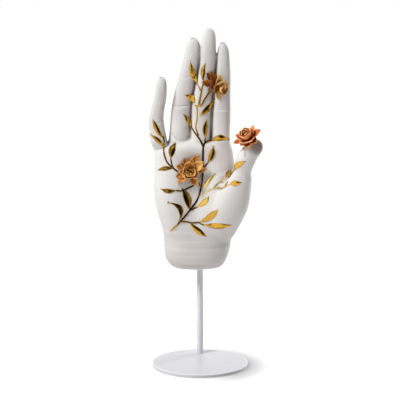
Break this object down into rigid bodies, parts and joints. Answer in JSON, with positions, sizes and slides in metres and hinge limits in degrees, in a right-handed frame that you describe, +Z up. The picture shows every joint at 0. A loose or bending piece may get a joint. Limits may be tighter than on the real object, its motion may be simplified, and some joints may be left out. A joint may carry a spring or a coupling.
{
  "type": "hand sculpture",
  "caption": "Open ceramic hand with gilt leafy sprays and applied blossoms, standing upright on a slim rod and round foot.",
  "frame": {"origin": "centre of the foot's underside", "axes": "+Z up along the rod, -Y the way the palm faces, +X towards the thumb"},
  "size_m": [0.1174, 0.1012, 0.354],
  "materials": {
    "porcelain": "matte bisque",
    "gilt": "fired gold lustre over raised slip",
    "amber_petal": "matte hand-coloured",
    "rose_petal": "matte hand-coloured",
    "cement": "cast, rough",
    "brass": "machined",
    "steel": "zinc plated",
    "nylon": "moulded",
    "felt": "needled felt",
    "white_paint": "satin powder coat"
  },
  "bodies": {
    "root": {"finger_flower_bud": "amber_petal", "finger_flower_calyx": "amber_petal", "finger_flower_inner_petals": "amber_petal", "finger_flower_middle_petals": "amber_petal", "finger_flower_outer_petals": "amber_petal", "foot_disc": "white_paint", "foot_pad": "felt", "foot_screw": "steel", "hand_shell": "porcelain", "leaf_index_root": "gilt", "leaf_middle_high": "gilt", "leaf_middle_joint": "gilt", "leaf_middle_root": "gilt", "leaf_palm_edge": "gilt", "leaf_palm_high": "gilt", "leaf_palm_middle": "gilt", "leaf_palm_short": "gilt", "leaf_palm_sickle": "gilt", "leaf_palm_side": "gilt", "leaf_palm_slender": "gilt", "leaf_pinky_inner": "gilt", "leaf_pinky_long": "gilt", "leaf_pinky_outer": "gilt", "leaf_ring_high": "gilt", "leaf_ring_joint": "gilt", "leaf_ring_root": "gilt", "leaf_thumb_side": "gilt", "leaf_thumb_small": "gilt", "leaf_thumb_tip": "gilt", "leaf_wrist_long": "gilt", "leaf_wrist_lower": "gilt", "leaf_wrist_upper": "gilt", "palm_flower_bud": "amber_petal", "palm_flower_calyx": "amber_petal", "palm_flower_inner_petals": "amber_petal", "palm_flower_middle_petals": "amber_petal", "palm_flower_outer_petals": "amber_petal", "stand_rod": "white_paint", "stem_fingers": "gilt", "stem_main": "gilt", "stem_pinky": "gilt", "stem_thumb": "gilt", "thumb_flower_bud": "rose_petal", "thumb_flower_calyx": "rose_petal", "thumb_flower_inner_petals": "rose_petal", "thumb_flower_middle_petals": "rose_petal", "thumb_flower_outer_petals": "rose_petal", "twig_palm": "gilt", "twig_wrist": "gilt", "wrist_insert": "brass", "wrist_plug": "cement", "wrist_stud": "steel", "wrist_washer": "nylon"}
  },
  "joints": []
}
